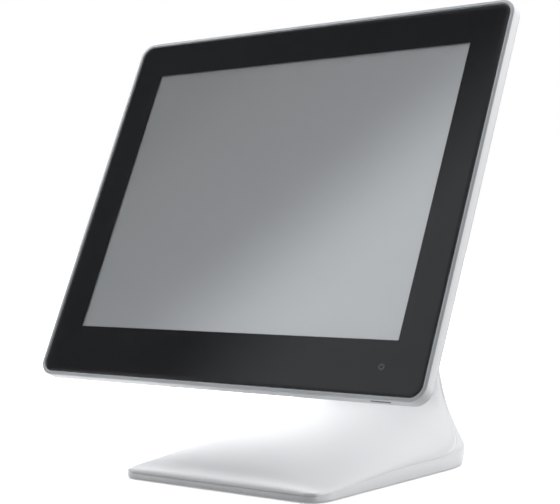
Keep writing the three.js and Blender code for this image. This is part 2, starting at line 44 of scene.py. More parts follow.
GU, GT, GB, GR = 180.0, 143.2, -153.3, 9.5        # glass half width, top, bottom, corner
RIM, HEAD_R = 3.0, 12.3
OU, OT, OB = GU + RIM, GT + RIM, GB - RIM
HINGE_V, HINGE_B = -12.0, 68.0
FIT = 0.3
UPV = np.array([0.0, math.sin(TILT), math.cos(TILT)])
BCK = np.array([0.0, math.cos(TILT), -math.sin(TILT)])
HEAD0 = np.array([0.0, -ORIGIN_Y, SCREEN_Z])


def head_pt(p):
    """head frame (u, b, v) in mm to row frame in metres"""
    p = np.atleast_2d(np.asarray(p, float))
    return (HEAD0 + p[:, :1] * [1, 0, 0] + p[:, 1:2] * BCK + p[:, 2:3] * UPV) / 1000.0


def stand_pt(p):
    p = np.atleast_2d(np.asarray(p, float)).copy()
    p[:, 1] -= ORIGIN_Y
    return p / 1000.0


# ------------------------------------------------------------------ mesh helpers
def make(name, verts, faces, smooth=35, flip=None):
    me = bpy.data.meshes.new(name)
    me.from_pydata([tuple(map(float, v)) for v in verts], [], [tuple(int(i) for i in f) for f in faces])
    bm = bmesh.new()
    bm.from_mesh(me)
    bmesh.ops.remove_doubles(bm, verts=bm.verts, dist=2e-6)
    bmesh.ops.dissolve_degenerate(bm, dist=1e-6, edges=bm.edges)
    bmesh.ops.recalc_face_normals(bm, faces=bm.faces)
    bm.to_mesh(me)
    bm.free()
    ob = bpy.data.objects.new(name, me)
    bpy.context.scene.collection.objects.link(ob)
    shade(ob, smooth)
    return ob


def shade(ob, angle=35):
    me = ob.data
    for p in me.polygons:
        p.use_smooth = True
    me.set_sharp_from_angle(angle=math.radians(angle))


def bake_mods(ob, angle=35):
    dg = bpy.context.evaluated_depsgraph_get()
    me = bpy.data.meshes.new_from_object(ob.evaluated_get(dg), preserve_all_data_layers=True, depsgraph=dg)
    ob.modifiers.clear()
    old = ob.data
    ob.data = me
    bpy.data.meshes.remove(old)
    shade(ob, angle)
    return ob


def bevel(ob, width_mm, segments=2, angle=40, apply=True, shade_angle=35):
    m = ob.modifiers.new("edge", "BEVEL")
    m.width = width_mm / 1000.0
    m.segments = segments
    m.limit_method = "ANGLE"
    m.angle_limit = math.radians(angle)
    m.use_clamp_overlap = True
    m.harden_normals = False
    return bake_mods(ob, shade_angle) if apply else ob


def boolean(ob, cutters, angle=35, keep=False):
    for c in cutters:
        m = ob.modifiers.new("cut", "BOOLEAN")
        m.operation = "DIFFERENCE"
        m.solver = "EXACT"
        m.object = c
    bake_mods(ob, angle)
    for c in cutters:
        me = c.data
        bpy.data.objects.remove(c)
        bpy.data.meshes.remove(me)
    return ob


def rounded(u0, u1, v0, v1, r, n=10):
    """closed rounded rectangle, counter-clockwise"""
    pts = []
    for cx, cy, a0 in ((u1 - r, v0 + r, -90), (u1 - r, v1 - r, 0), (u0 + r, v1 - r, 90), (u0 + r, v0 + r, 180)):
        for i in range(n + 1):
            a = math.radians(a0 + 90.0 * i / n)
            pts.append((cx + r * math.cos(a), cy + r * math.sin(a)))
    return pts


def ring_path(inset, r=None, n=16, base=(OU, OT, OB, HEAD_R), long=1):
    U, T, B, R = base
    r = max(R - inset, 0.35) if r is None else r
    return rounded(-U + inset, U - inset, B + inset, T - inset, r, n)


def loft_rings(rings, cap0=True, cap1=True, closed_loop=False):
    n = len(rings[0])
    verts, faces = [], []
    for ring in rings:
        verts += list(ring)
    m = len(rings)
    for k in range(m if closed_loop else m - 1):
        k2 = (k + 1) % m
        for i in range(n):
            j = (i + 1) % n
            faces.append((k * n + i, k * n + j, k2 * n + j, k2 * n + i))
    if not closed_loop:
        if cap0:
            faces.append(tuple(range(n))[::-1])
        if cap1:
            faces.append(tuple(range((m - 1) * n, m * n)))
    return verts, faces


def frame_sweep(name, profile, n=18, base=(OU, OT, OB, HEAD_R), smooth=30):
    """a closed profile of (inset, b) carried round the head's outline"""
    rings = []
    for inset, b in profile:
        rings.append(head_pt([(u, b, v) for u, v in ring_path(inset, n=n, base=base)]))
    v, f = loft_rings(rings, closed_loop=True)
    return make(name, v, f, smooth)


def plate_uv(name, outline, b0, b1, edge=0.0, holes=(), to=head_pt, smooth=35):
    """outline in u, v given thickness along b; edge (chamfered rims) is not used"""
    rings = [[(u, b0, v) for u, v in outline], [(u, b1, v) for u, v in outline]]
    v, f = loft_rings([to(r) for r in rings])
    ob = make(name, v, f, smooth)
    return ob


def prism(name, outline3, direction, to, smooth=35):
    a = np.asarray(outline3, float)
    b = a + np.asarray(direction, float)
    v, f = loft_rings([to(a), to(b)])
    return make(name, v, f, smooth)


def box_ob(name, x, y, z, to=head_pt):
    a = [(x[0], y[0], z[0]), (x[1], y[0], z[0]), (x[1], y[1], z[0]), (x[0], y[1], z[0])]
    return prism(name, a, (0, 0, z[1] - z[0]), to)


def lathe(name, profile, origin, axis, to, seg=40, smooth=30):
    """profile of (radius, height) turned round an axis given in the piece's own frame"""
    axis = np.asarray(axis, float)
    axis /= np.linalg.norm(axis)
    ref = np.array([0, 0, 1.0]) if abs(axis[2]) < 0.9 else np.array([1.0, 0, 0])
    e1 = np.cross(axis, ref)
    e1 /= np.linalg.norm(e1)
    e2 = np.cross(axis, e1)
    verts, faces, rows = [], [], []
    for r, h in profile:
        c = np.asarray(origin, float) + axis * h
        if r < 1e-6:
            rows.append([len(verts)])
            verts.append(c)
        else:
            rows.append(list(range(len(verts), len(verts) + seg)))
            for i in range(seg):
                a = 2 * math.pi * i / seg
                verts.append(c + r * (math.cos(a) * e1 + math.sin(a) * e2))
    for A, B in zip(rows[:-1], rows[1:]):
        for i in range(seg):
            j = (i + 1) % seg
            if len(A) == 1 and len(B) == 1:
                continue
            if len(A) == 1:
                faces.append((A[0], B[i], B[j]))
            elif len(B) == 1:
                faces.append((A[i], A[j], B[0]))
            else:
                faces.append((A[i], A[j], B[j], B[i]))
    return make(name, to(verts), faces, smooth)


def spline(x, Y, xq):
    """natural cubic spline through the rows of Y"""
    x = np.asarray(x, float)
    Y = np.asarray(Y, float)
    n = len(x)
    h = np.diff(x)
    A = np.zeros((n, n))
    r = np.zeros_like(Y)
    A[0, 0] = A[-1, -1] = 1
    for i in range(1, n - 1):
        A[i, i - 1], A[i, i], A[i, i + 1] = h[i - 1], 2 * (h[i - 1] + h[i]), h[i]
        r[i] = 6 * ((Y[i + 1] - Y[i]) / h[i] - (Y[i] - Y[i - 1]) / h[i - 1])
    M = np.linalg.solve(A, r)
    out = []
    for q in xq:
        i = min(max(int(np.searchsorted(x, q) - 1), 0), n - 2)
        a, b, H = x[i + 1] - q, q - x[i], h[i]
        out.append(M[i] * a**3 / (6 * H) + M[i + 1] * b**3 / (6 * H)
                   + (Y[i] / H - M[i] * H / 6) * a + (Y[i + 1] / H - M[i + 1] * H / 6) * b)
    return np.array(out)


# ------------------------------------------------------------------ materials
class Mat:
    def __init__(self, name):
        self.m = bpy.data.materials.new(name)
        self.m.use_nodes = True
        self.nt = self.m.node_tree
        self.nt.nodes.clear()
        self.out = self.nt.nodes.new("ShaderNodeOutputMaterial")
        self.p = self.nt.nodes.new("ShaderNodeBsdfPrincipled")
        self.nt.links.new(self.p.outputs[0], self.out.inputs[0])
        self.co = self.nt.nodes.new("ShaderNodeTexCoord").outputs["Object"]

    def node(self, kind, **kw):
        n = self.nt.nodes.new(kind)
        for k, v in kw.items():
            if k.startswith("in_"):
                n.inputs[k[3:].replace("_", " ")].default_value = v
            else:
                setattr(n, k, v)
        return n

    def link(self, a, b):
        self.nt.links.new(a, b)

    def noise(self, scale, detail=3.0, rough=0.5, vec=None):
        n = self.node("ShaderNodeTexNoise")
        n.inputs["Scale"].default_value = scale
        n.inputs["Detail"].default_value = detail
        n.inputs["Roughness"].default_value = rough
        self.link(vec or self.co, n.inputs["Vector"])
        return n.outputs["Fac"]

    def ramp(self, fac, stops, mode="LINEAR"):
        n = self.node("ShaderNodeValToRGB")
        cr = n.color_ramp
        cr.interpolation = mode
        while len(cr.elements) < len(stops):
            cr.elements.new(0.5)
        for e, (p, c) in zip(cr.elements, stops):
            e.position = p
            e.color = tuple(c) + (1.0,) if len(c) == 3 else tuple(c)
        self.link(fac, n.inputs["Fac"])
        return n.outputs["Color"]

    def scaled(self, sx, sy, sz, rot=(0, 0, 0)):
        n = self.node("ShaderNodeMapping")
        n.inputs["Scale"].default_value = (sx, sy, sz)
        n.inputs["Rotation"].default_value = rot
        self.link(self.co, n.inputs["Vector"])
        return n.outputs[0]

    def map_range(self, fac, a, b, c, d, smooth=False):
        n = self.node("ShaderNodeMapRange")
        n.interpolation_type = "SMOOTHSTEP" if smooth else "LINEAR"
        for k, v in zip(("From Min", "From Max", "To Min", "To Max"), (a, b, c, d)):
            n.inputs[k].default_value = v
        self.link(fac, n.inputs["Value"])
        return n.outputs[0]

    def bump(self, fac, strength, distance, chain=None):
        n = self.node("ShaderNodeBump")
        n.inputs["Strength"].default_value = strength
        n.inputs["Distance"].default_value = distance
        self.link(fac, n.inputs["Height"])
        if chain is not None:
            self.link(chain, n.inputs["Normal"])
        return n.outputs[0]

    def set(self, **kw):
        for k, v in kw.items():
            self.p.inputs[k.replace("_", " ")].default_value = v
        return self


def tone(c, k):
    return tuple(max(0.0, min(1.0, x * k)) for x in c)


def plastic(name, c, rough=0.4, grain=0.05, vary=0.02, scale=1800.0, specular=0.5):
    m = Mat(name)
    big = m.noise(6.0, 3.0)
    m.link(m.ramp(big, [(0.3, tone(c, 1 - vary)), (0.7, tone(c, 1 + vary))]), m.p.inputs["Base Color"])
    fine = m.noise(scale, 2.0, 0.6)
    mid = m.noise(45.0, 4.0, 0.55)
    m.link(m.map_range(mid, 0.3, 0.7, rough - 0.035, rough + 0.035), m.p.inputs["Roughness"])
    m.link(m.bump(fine, grain, 0.00012), m.p.inputs["Normal"])
    m.set(Specular_IOR_Level=specular)
    return m.m


def metal(name, c, rough=0.3, metallic=1.0, brushed=None, grain=0.04, vary=0.04):
    m = Mat(name)
    vec = m.scaled(*brushed) if brushed else None
    n1 = m.noise(30.0, 4.0, 0.6, vec)
    m.link(m.ramp(n1, [(0.3, tone(c, 1 - vary)), (0.7, tone(c, 1 + vary))]), m.p.inputs["Base Color"])
    m.link(m.map_range(n1, 0.3, 0.7, rough - 0.06, rough + 0.06), m.p.inputs["Roughness"])
    n2 = m.noise(900.0, 2.0, 0.5, vec)
    m.link(m.bump(n2, grain, 0.00008), m.p.inputs["Normal"])
    m.set(Metallic=metallic)
    return m.m


WHITE = plastic("white_abs", (0.80, 0.805, 0.815), 0.36, 0.035, 0.012, 2200.0)
WHITE_REAR = plastic("white_abs_textured", (0.79, 0.795, 0.805), 0.46, 0.10, 0.015, 1500.0)
SILVER = metal("satin_silver_paint", (0.50, 0.515, 0.535), 0.38, 0.30, None, 0.03, 0.03)
STEEL = metal("galvanised_sheet", (0.56, 0.57, 0.58), 0.36, 1.0, (1, 1, 0.12), 0.05, 0.10)
BLACKSTEEL = plastic("black_powder_coat", (0.028, 0.029, 0.031), 0.5, 0.25, 0.12, 1400.0)
SPRING = metal("ground_spring_steel", (0.42, 0.43, 0.44), 0.28, 1.0, (1, 0.1, 1), 0.04, 0.06)
ZINC = metal("bright_zinc", (0.60, 0.605, 0.61), 0.25, 1.0, None, 0.03, 0.05)
IRON = plastic("as_cast_iron", (0.06, 0.06, 0.062), 0.65, 0.5, 0.2, 500.0)
ALU = metal("satin_aluminium", (0.68, 0.69, 0.70), 0.33, 1.0, (0.1, 1, 1), 0.05, 0.04)
BOARD = plastic("solder_mask_green", (0.012, 0.10, 0.045), 0.38, 0.12, 0.18, 350.0)
BLACKP = plastic("black_moulded", (0.018, 0.018, 0.020), 0.42, 0.10, 0.10, 900.0)
DRIVE = metal("anodised_drive_case", (0.12, 0.125, 0.135), 0.38, 0.9, (1, 0.1, 1), 0.05, 0.05)
TIN = metal("tin_plated_shell", (0.58, 0.585, 0.59), 0.30, 1.0, None, 0.05, 0.05)
RUBBER = plastic("soft_rubber", (0.022, 0.022, 0.023), 0.78, 0.35, 0.12, 1200.0, 0.3)
FILM = plastic("diffuser_stack", (0.70, 0.71, 0.72), 0.5, 0.05, 0.03, 600.0)
SLOT_MAT = {"white_housing": WHITE, "silver_rim": SILVER, "sheet_steel": STEEL, "black_steel": BLACKSTEEL,
            "spring_steel": SPRING, "zinc_fastener": ZINC, "ballast_iron": IRON, "heatsink_aluminium": ALU,
            "circuit_board": BOARD, "black_component": BLACKP, "drive_case": DRIVE, "connector_shell": TIN,
            "foot_rubber": RUBBER, "backlight_film": FILM}


def cover_glass():
    m = Mat("cover_glass")
    smudge = m.noise(9.0, 5.0, 0.6)
    m.link(m.map_range(smudge, 0.45, 0.8, 0.012, 0.045), m.p.inputs["Roughness"])
    m.set(Base_Color=(1.0, 1.0, 1.0, 1.0), Transmission_Weight=1.0, IOR=1.50)
    return m.m


def black_ink():
    m = Mat("black_border_ink")
    n = m.noise(14.0, 4.0)
    m.link(m.ramp(n, [(0.3, (0.0052, 0.0055, 0.0066)), (0.7, (0.0066, 0.0069, 0.0082))]), m.p.inputs["Base Color"])
    m.link(m.bump(m.noise(1500.0), 0.05, 0.00005), m.p.inputs["Normal"])
    m.set(Roughness=0.55, Specular_IOR_Level=0.2)
    return m.m


def screen_grey():
    """switched-off cell: grey with a painted reflection that lightens along one diagonal, over the fine pixel grid"""
    m = Mat("screen_cell_grey_painted_reflection")
    e = 0.69 * np.array([1.0, 0, 0]) - 0.73 * UPV
    off = float(np.dot(e, HEAD0 / 1000.0))
    dot = m.node("ShaderNodeVectorMath", operation="DOT_PRODUCT")
    dot.inputs[1].default_value = tuple(e)
    m.link(m.co, dot.inputs[0])
    sub = m.node("ShaderNodeMath", operation="SUBTRACT")
    sub.inputs[1].default_value = off
    m.link(dot.outputs["Value"], sub.inputs[0])
    s = m.map_range(sub.outputs[0], -0.20, 0.20, 0.0, 1.0)
    # painted reflection: this ramp lightens the cell's grey along one diagonal in place of the room's soft reflection
    col = m.ramp(s, [(p, c) for p, c in SCREEN_PAINTED_REFLECTION_STOPS], "B_SPLINE")
    cell = m.node("ShaderNodeTexChecker")
    cell.inputs["Scale"].default_value = 3367.0
    cell.inputs["Color1"].default_value = (1, 1, 1, 1)
    cell.inputs["Color2"].default_value = (0.965, 0.965, 0.975, 1)
    m.link(m.scaled(1, 1, 1, (TILT, 0, 0)), cell.inputs["Vector"])
    mix = m.node("ShaderNodeMix", data_type="RGBA", blend_type="MULTIPLY")
    mix.inputs["Factor"].default_value = 1.0
    m.link(col, mix.inputs[6])
    m.link(cell.outputs["Color"], mix.inputs[7])
    m.link(mix.outputs[2], m.p.inputs["Base Color"])
    m.set(Roughness=0.42, Specular_IOR_Level=0.35)
    return m.m


def lin(v):
    v /= 255.0
    return v / 12.92 if v <= 0.04045 else ((v + 0.055) / 1.055) ** 2.4


# painted reflection: grey levels of the diagonal ramp on the screen, darker at one corner and lighter at the other
SCREEN_PAINTED_REFLECTION_STOPS = [(0.0, 0.225), (0.15, 0.245), (0.26, 0.285), (0.44, 0.325), (0.50, 0.335), (0.55, 0.36), (0.615, 0.45), (0.68, 0.555), (0.74, 0.62), (0.80, 0.64), (1.0, 0.65)]
SCREEN_PAINTED_REFLECTION_STOPS = [(p, 0.955 * v) for p, v in SCREEN_PAINTED_REFLECTION_STOPS]
SCREEN_PAINTED_REFLECTION_STOPS = [(p, (0.955 * v, 0.985 * v, 1.01 * v)) for p, v in SCREEN_PAINTED_REFLECTION_STOPS]
GLASS, INK, SCREEN = cover_glass(), black_ink(), screen_grey()
SLOT_MAT.update({"cover_glass": GLASS, "black_ink": INK, "screen_grey": SCREEN})


def dress(ob, mat):
    ob.data.materials.clear()
    ob.data.materials.append(mat)


slot_of = {s["node"]: s["material_slot"] for s in frame["record"]["subparts"]}
for name, ob in frame["nodes"].items():
    mat = SLOT_MAT[slot_of[name]]
    for s in ob.material_slots:
        s.link = "OBJECT"
        s.material = mat


def piece(ob, body, slot, mat=None, *nodes):
    dress(ob, mat or SLOT_MAT[slot])
    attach(ob, body)
    if nodes:
        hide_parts(*nodes)
    return ob


HEAD, STAND = "display_head", "stand"
N = 20

# ------------------------------------------------------------------ camera
F_PX = 1402.85
AZ, EL, ROLL = math.radians(38.842), math.radians(0.889), math.radians(-0.781)
CAM_AT = (674.55, -819.70 - ORIGIN_Y, 187.78)
back = Vector((math.sin(AZ) * math.cos(EL), -math.cos(AZ) * math.cos(EL), math.sin(EL)))
right = Vector((math.cos(AZ), math.sin(AZ), 0.0))
up = back.cross(right)
r2 = math.cos(ROLL) * right + math.sin(ROLL) * up
u2 = -math.sin(ROLL) * right + math.cos(ROLL) * up
cam = bpy.data.cameras.new("camera")
cam.sensor_width = 36.0
cam.lens = F_PX / 560.0 * 36.0
cam.clip_start, cam.clip_end = 0.02, 60.0
cam.dof.use_dof = False
cam_ob = bpy.data.objects.new("camera", cam)
bpy.context.scene.collection.objects.link(cam_ob)
M = Matrix.Identity(4)
for i in range(3):
    M[i][0], M[i][1], M[i][2], M[i][3] = r2[i], u2[i], back[i], CAM_AT[i] / 1000.0
cam_ob.matrix_world = M
bpy.context.scene.camera = cam_ob

# ------------------------------------------------------------------ display head
# cover glass with a softened front edge
prof = [(0.0, 0.35), (0.06, 0.12), (0.22, 0.0)]
rings = [head_pt([(u, b, v) for u, v in ring_path(i, n=N, base=(GU, GT, GB, GR))]) for i, b in prof]
rings.append(head_pt([(u, 0.0, v) for u, v in ring_path(3.0, n=N, base=(GU, GT, GB, GR))]))
outer = head_pt([(u, 2.0, v) for u, v in ring_path(0.0, n=N, base=(GU, GT, GB, GR))])
v, f = loft_rings([rings[3], rings[2], rings[1], rings[0], outer])
glass = piece(make("touch_glass_fine", v, f, 40), HEAD, "cover_glass", GLASS, "touch_glass")
glass.visible_shadow = False

# standby mark printed behind the glass: an open ring and a bar
verts_, faces_ = [], []
for i in range(41):
    a = math.radians(90 + 38 + (360 - 76) * i / 40)
    for r in (1.78, 2.16):
        verts_.append((143.8 + r * math.cos(a), 2.15, -133 + r * math.sin(a)))
    if i:
        k = 2 * i
        faces_.append((k - 2, k - 1, k + 1, k))
k = len(verts_)
verts_ += [(143.8 - 0.2, 2.15, -132.6), (143.8 + 0.2, 2.15, -132.6), (143.8 + 0.2, 2.15, -130.5), (143.8 - 0.2, 2.15, -130.5)]
faces_.append((k, k + 1, k + 2, k + 3))
mark = make("standby_mark", head_pt(verts_), faces_, 40)
m_ = mark.modifiers.new("t", "SOLIDIFY")
m_.thickness, m_.offset = 0.00008, 0.0
bake_mods(mark, 40)
MARK = plastic("grey_print", (0.19, 0.195, 0.205), 0.5, 0.05, 0.05, 900.0)
piece(mark, HEAD, "silver_rim", MARK)

# silver rim: flat inner land, crisp step, rounded outer shoulder
rim_profile = [(2.62, 3.0), (2.62, 0.30), (2.56, 0.14), (2.42, 0.04), (1.16, 0.10), (1.04, 0.18), (1.00, 0.40), (0.88, 0.40),
               (0.82, 0.24), (0.66, 0.22), (0.42, 0.30), (0.20, 0.44), (0.05, 0.64), (0.0, 0.80), (0.06, 0.92), (0.30, 0.98),
               (1.4, 0.98), (1.4, 4.0), (9.0, 4.0), (9.0, 3.0)]
piece(frame_sweep("bezel_rim_fine", rim_profile, N, smooth=28), HEAD, "silver_rim", SILVER, "bezel_rim")

side_profile = [(0.35, 1.14), (0.10, 1.22), (0.0, 1.48), (0.0, 8.60), (0.06, 8.82), (0.26, 8.92), (2.4, 8.92), (2.4, 4.3), (1.1, 4.3), (1.1, 1.14)]
side = frame_sweep("side_frame_fine", side_profile, N, smooth=28)
slot_cut = prism("slot_cutter", [(u, b, OB - 2) for u, b in rounded(139.3, 155.9, 3.05, 5.85, 0.9, 5)], (0, 0, 6.0), head_pt)
boolean(side, [slot_cut], 28)
piece(side, HEAD, "white_housing", WHITE, "side_frame")

# power button
btn = prism("power_button_fine", [(u, b, OB - 0.2) for u, b in rounded(139.62, 155.58, 3.3, 5.6, 0.8, 6)], (0, 0, 0.9), head_pt)
bevel(btn, 0.18, 2)
stem = prism("power_button_stem", [(u, b, OB + 0.5) for u, b in rounded(141.6, 153.6, 4.5, 5.6, 0.3, 3)], (0, 0, 3.7), head_pt)
pin = lathe("power_button_pin", [(0, 0), (0.6, 0), (0.6, 4.7), (0, 4.7)], (147.6, 5.5, OB + 3.9), (0, 0, 1), head_pt, 20)
for extra in (stem, pin):
    m_ = btn.modifiers.new("j", "BOOLEAN"); m_.operation = "UNION"; m_.solver = "EXACT"; m_.object = extra
bake_mods(btn, 30)
for extra in (stem, pin):
    bpy.data.objects.remove(extra)
BUTTON_GREY = plastic("button_grey", (0.13, 0.132, 0.138), 0.42, 0.08, 0.06, 900.0)
piece(btn, "power_button", "black_component", BUTTON_GREY, "power_button")

# rear housing
REAR_OUT = [(0.22, 9.08), (0.05, 9.22), (0.02, 9.5), (0.34, 10.2), (1.05, 11.2), (2.3, 12.7), (4.0, 14.4), (6.1, 16.3), (7.4, 17.3), (9, 18.1), (18, 20.4), (28, 22.9), (35, 24.8), (39, 26.1), (42.5, 27.7), (45.2, 29.8),
            (47.2, 32.5), (49.6, 36.5), (51.8, 40.0), (53.5, 42.4), (55.4, 44.2), (57.8, 45.4), (60.5, 45.9), (64, 46.0)]
REAR_IN = [(2.4, 9.3), (4.4, 12.6), (9.0, 15.6), (38, 22.8), (47, 27.4), (54.4, 38.5), (60.5, 43.5)]


def head_ring(inset, b, n):
    r = max(HEAD_R + inset * 0.25, 3.0)
    return head_pt([(u, b, v) for u, v in rounded(-OU + inset, OU - inset, OB + inset, OT - inset, r, n)])


v, f = loft_rings([head_ring(i, b, N) for i, b in REAR_OUT] + [head_ring(i, b, N) for i, b in REAR_IN[::-1]], closed_loop=False, cap0=False, cap1=False)
n_ = len(head_ring(0, 0, N))
ko, total = len(REAR_OUT), len(REAR_OUT) + len(REAR_IN)
# back wall outside, back wall inside, and the front rim
f = [q for q in f if not (min(q) // n_ == ko - 1 and max(q) // n_ == ko)]
f.append(tuple(range((ko - 1) * n_, ko * n_)))
f.append(tuple(range(ko * n_, (ko + 1) * n_)))
last = (total - 1) * n_
for i in range(n_):
    j = (i + 1) % n_
    f.append((i, j, last + j, last + i))
rear = make("rear_housing_fine", v, f, 30)
cutters = []
for i in range(12):
    u = -66 + 12 * i
    cutters.append(prism(f"vent{i}", [(a, 40.5, c) for a, c in rounded(u - 1.6, u + 1.6, 46, 76, 1.55, 5)], (0, 10, 0), head_pt))
for u, vv in ((-109, 70), (109, 70), (-109, -80), (109, -80)):
    cutters.append(lathe("ph", [(0, 0), (1.9, 0), (1.9, 9.6), (3.5, 9.6), (3.5, 14), (0, 14)], (u, 35, vv), (0, 1, 0), head_pt, 32))
for u, vv in ((-48, 24), (48, 24), (-48, -48), (48, -48)):
    cutters.append(lathe("hh", [(0, 0), (2.4, 0), (2.4, 10), (0, 10)], (u, 40, vv), (0, 1, 0), head_pt, 24))
cutters.append(prism("bay", [(u, b, -130) for u, b in rounded(-50, 68, 22, 39, 2.5, 5)], (0, 0, 32.6), head_pt))
boolean(rear, cutters, 30)
piece(rear, HEAD, "white_housing", WHITE_REAR, "rear_housing")


# screws with a cross recess
def screw(name, at, axis, head_r, head_h, shank_r, length, to, body, node):
    prof = [(0, 0), (shank_r * 0.7, 0), (shank_r, 0.6)]
    z = 0.9
    while z < length - 0.5:
        prof += [(shank_r, z), (shank_r * 0.86, z + 0.25)]
        z += 0.5
    prof += [(shank_r, length), (head_r * 0.97, length), (head_r, length + 0.08 * head_h), (head_r, length + head_h * 0.5), (head_r * 0.93, length + head_h * 0.78),
             (head_r * 0.78, length + head_h * 0.94), (head_r * 0.55, length + head_h), (0, length + head_h)]
    ob = lathe(name, prof, at, axis, to, 36, 40)
    cs = []
    ax = np.asarray(axis, float)
    ax /= np.linalg.norm(ax)
    ref = np.array([1.0, 0, 0]) if abs(ax[0]) < 0.9 else np.array([0, 1.0, 0])
    e1 = np.cross(ax, ref); e1 /= np.linalg.norm(e1)
    e2 = np.cross(ax, e1)
    top = np.asarray(at, float) + ax * (length + head_h * 0.42)
    for a, b in ((e1, e2), (e2, e1)):
        w, l = head_r * 0.11, head_r * 0.55
        pts = [top + a * l + b * w, top - a * l + b * w, top - a * l - b * w, top + a * l - b * w]
        cs.append(prism("x", pts, ax * head_h, to))
    boolean(ob, cs, 40)
    return piece(ob, body, "zinc_fastener", ZINC, node)


for i, (u, vv) in enumerate(((-48, 24), (48, 24), (-48, -48), (48, -48)), 1):
    screw(f"hinge_screw_{i}_fine", (u, 46.3 + 2.5 + 0.3 - 10.5, vv), (0, 1, 0), 4, 2.4, 2, 10.5, head_pt, HEAD, f"hinge_screw_{i}")
for i, (u, vv) in enumerate(((-109, 70), (109, 70), (-109, -80), (109, -80)), 1):
    screw(f"housing_screw_{i}_fine", (u, 36.0, vv), (0, 1, 0), 3, 1.6, 1.5, 9, head_pt, HEAD, f"housing_screw_{i}")

# hinge mount plate and arms
plate = prism("hinge_mount_plate_fine", [(u, 46.3, vv) for u, vv in rounded(-64, 64, -56, 32, 4, 6)], (0, 2.5, 0), head_pt)
for s in (-1, 1):
    prof = [(46.5, HINGE_V - 20), (46.5, HINGE_V + 20)] + [(HINGE_B + 11 * math.cos(math.radians(80 - 160 * i / 28)), HINGE_V + 11 * math.sin(math.radians(80 - 160 * i / 28))) for i in range(29)]
    x0 = min(s * 61, s * 64)
    arm = prism("arm", [(x0, b, vv) for b, vv in prof], (3, 0, 0), head_pt)
    m_ = plate.modifiers.new("j", "BOOLEAN"); m_.operation = "UNION"; m_.solver = "EXACT"; m_.object = arm
    bake_mods(plate)
    bpy.data.objects.remove(arm)
cut_ = [lathe("h", [(0, 0), (4.3, 0), (4.3, 140), (0, 140)], (-70, HINGE_B, HINGE_V), (1, 0, 0), head_pt, 40)]
for u, vv in ((-48, 24), (48, 24), (-48, -48), (48, -48)):
    cut_.append(lathe("h", [(0, 0), (2.4, 0), (2.4, 12), (0, 12)], (u, 40, vv), (0, 1, 0), head_pt, 24))
boolean(plate, cut_)
bevel(plate, 0.3, 2, 50)
piece(plate, HEAD, "black_steel", BLACKSTEEL, "hinge_mount_plate")

for side_name, s in (("left", -1), ("right", 1)):
    cap = [(46.3, HINGE_V - 24), (46.3, HINGE_V + 24)] + [(HINGE_B + 15 * math.cos(math.radians(84 - 168 * i / 36)), HINGE_V + 15 * math.sin(math.radians(84 - 168 * i / 36))) for i in range(37)]
    inn = [(44.0, HINGE_V - 21.6), (44.0, HINGE_V + 21.6)] + [(HINGE_B + 12.8 * math.cos(math.radians(84 - 168 * i / 36)), HINGE_V + 12.8 * math.sin(math.radians(84 - 168 * i / 36))) for i in range(37)]
    lo = min(s * 64.6, s * 70)
    ob = prism(f"hinge_arm_cover_{side_name}_fine", [(lo, b, vv) for b, vv in cap], (5.4, 0, 0), head_pt)
    bevel(ob, 1.2, 3, 50)
    lo2 = min(s * 60, s * 67.8)
    boolean(ob, [prism("i", [(lo2, b, vv) for b, vv in inn], (7.8, 0, 0), head_pt)], 35)
    piece(ob, HEAD, "white_housing", WHITE_REAR, f"hinge_arm_cover_{side_name}")
    a0 = 33.5 * s
    prof = [(0, 0), (3.6, 0), (4, 0.4), (4, 30.8), (6.2, 30.8), (6.5, 31.1), (6.5, 32.8), (6.2, 33.1), (0, 33.1)]
    piece(lathe(f"hinge_pin_{side_name}_fine", prof, (a0, HINGE_B, HINGE_V), (s, 0, 0), head_pt, 48), HEAD, "spring_steel", SPRING, f"hinge_pin_{side_name}")

# ------------------------------------------------------------------ stand
hy = HINGE_V * math.sin(TILT) + HINGE_B * math.cos(TILT)
hz = SCREEN_Z + HINGE_V * math.cos(TILT) - HINGE_B * math.sin(TILT)
REAR_Y, REAR_N, BASE_Z, WALL = 158.5, 3.4, 0.9, 2.4
# T(y,z)  S(x,y,z)  m   R(y,z)  n
ST = [
    (-63.0, 5.15, 82.0, -63.0, 5.0, 9.0, None),
    (-62.7, 6.7, 82.6, -62.9, 5.0, 9.0, None),
    (-61.6, 8.3, 87.6, -61.2, 5.1, 6.0, None),
    (-58.4, 9.5, 91.6, -57.6, 5.2, 3.6, None),
    (-49.0, 11.8, 94.8, -49.0, 5.7, 2.5, None),
    (-20.0, 18.4, 95.0, -20.0, 7.6, 2.15, None),
    (10.0, 24.6, 95.0, 10.0, 9.9, 2.0, None),
    (45.0, 31.4, 95.0, 45.0, 11.6, 2.0, None),
    (74.0, 38.6, 95.0, 79.0, 11.6, 2.0, None),
    (90.0, 42.6, 94.9, 95.0, 11.9, 2.0, "G"),
    (105.0, 47.5, 94.0, 110.0, 13.6, 2.0, (158, 6, 3.4)),
    (117.0, 54.0, 88.6, 126.6, 18.5, 2.0, (158, 14, 3.4)),
    (124.5, 62.5, 78.6, 138.6, 28.0, 2.1, (156.6, 25, 3.4)),
    (128.0, 73.0, 68.5, 144.0, 43.0, 2.4, (154.6, 44, 3.5)),
    (128.5, 86.0, 62.5, 144.0, 65.0, 2.9, (152.4, 70, 3.6)),
    (122.5, 108.0, 59.8, 135.0, 97.0, 3.4, (145, 104, 3.8)),
    (107.0, 126.0, 58.5, 119.0, 127.0, 4.0, (129, 135, 4.2)),
    (83.0, 140.0, 57.5, 96.0, 151.0, 5.0, (107, 160, 5.0)),
]
